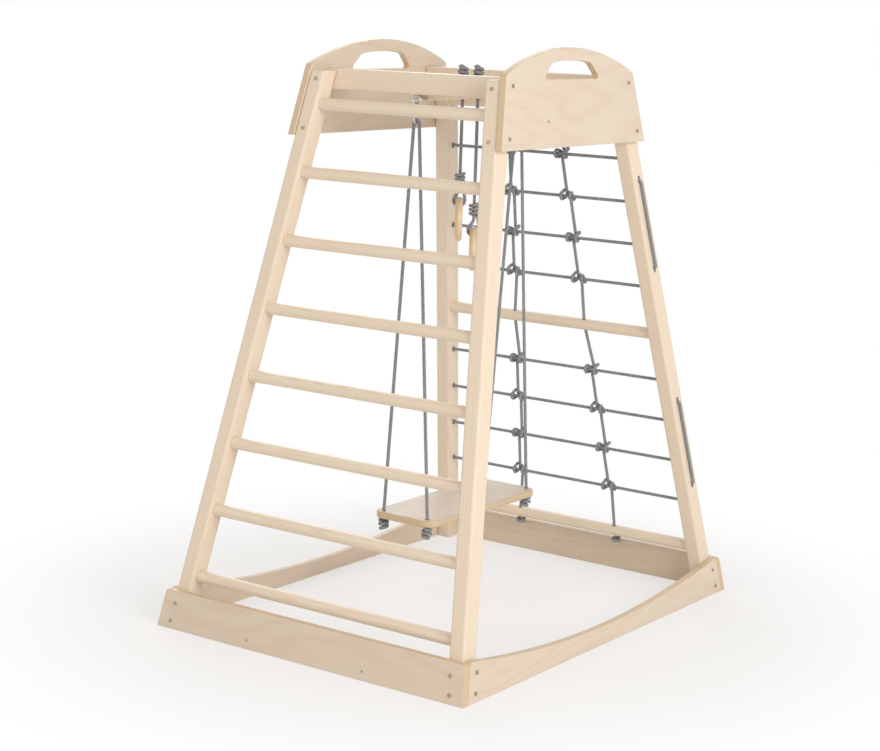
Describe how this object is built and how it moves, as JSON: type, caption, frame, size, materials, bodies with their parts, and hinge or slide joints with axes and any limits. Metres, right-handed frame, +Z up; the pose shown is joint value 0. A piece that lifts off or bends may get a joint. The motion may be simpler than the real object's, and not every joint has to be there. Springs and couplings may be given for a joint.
{
  "type": "indoor play tower",
  "caption": "Wooden indoor climbing tower with a ladder side, a rope net side, arched top panels with handle slots, a swing and two hanging rings.",
  "frame": {"origin": "on the floor under the middle of the tower", "axes": "+X from the ladder side to the net side, -Y the front, +Z up"},
  "size_m": [1.199, 0.8996, 1.4],
  "materials": {
    "pine": "sanded pale pine, clear satin lacquer",
    "birch_plywood": "birch plywood, clear satin lacquer, layered edges",
    "ring_wood": "turned wood, satin lacquer",
    "grey_rope": "twisted grey rope",
    "zinc_steel": "zinc-plated steel"
  },
  "bodies": {
    "frame": {"base_board_back": "birch_plywood", "base_board_front": "birch_plywood", "base_board_ladder": "birch_plywood", "base_board_net": "birch_plywood", "hanging_beam": "pine", "ladder_rung_1": "pine", "ladder_rung_2": "pine", "ladder_rung_3": "pine", "ladder_rung_4": "pine", "ladder_rung_5": "pine", "ladder_rung_6": "pine", "ladder_rung_7": "pine", "ladder_rung_8": "pine", "leg_back_ladder": "pine", "leg_back_net": "pine", "leg_front_ladder": "pine", "leg_front_net": "pine", "net_rope_lower": "grey_rope", "net_rope_upper": "grey_rope", "net_rung_bottom": "pine", "net_rung_middle": "pine", "net_rung_top": "pine", "net_upright_back": "grey_rope", "net_upright_front": "grey_rope", "ring_rope_left_anchor": "grey_rope", "ring_rope_right_anchor": "grey_rope", "swing_eye_ladder": "zinc_steel", "swing_eye_net": "zinc_steel", "top_panel_back": "birch_plywood", "top_panel_front": "birch_plywood", "top_rail_ladder": "pine", "top_rail_net": "pine"},
    "swing": {"swing_link_ladder": "zinc_steel", "swing_link_net": "zinc_steel", "swing_rope_ladder": "grey_rope", "swing_rope_net": "grey_rope", "swing_seat": "birch_plywood"},
    "ring_rope_left": {"ring_rope_left": "grey_rope"},
    "ring_left": {"ring_left": "ring_wood"},
    "ring_rope_right": {"ring_rope_right": "grey_rope"},
    "ring_right": {"ring_right": "ring_wood"}
  },
  "joints": [
    {"name": "swing_hinge", "type": "hinge", "parent": "frame", "child": "swing", "pos_m": [0, 0, 1.2633], "axis": [1, 0, 0], "range_deg": [-45, 45]},
    {"name": "ring_rope_left_hinge", "type": "hinge", "parent": "frame", "child": "ring_rope_left", "pos_m": [-0.018, 0.01, 1.2634], "axis": [-0.5736, 0.8192, 0], "range_deg": [-35, 35]},
    {"name": "ring_left_turn", "type": "hinge", "parent": "ring_rope_left", "child": "ring_left", "pos_m": [-0.018, 0.01, 0.9785], "axis": [-0.5736, 0.8192, 0], "continuous": true},
    {"name": "ring_rope_right_hinge", "type": "hinge", "parent": "frame", "child": "ring_rope_right", "pos_m": [0.018, -0.01, 1.2634], "axis": [-0.5736, 0.8192, 0], "range_deg": [-35, 35]},
    {"name": "ring_right_turn", "type": "hinge", "parent": "ring_rope_right", "child": "ring_right", "pos_m": [0.018, -0.01, 0.9045], "axis": [-0.5736, 0.8192, 0], "continuous": true}
  ]
}
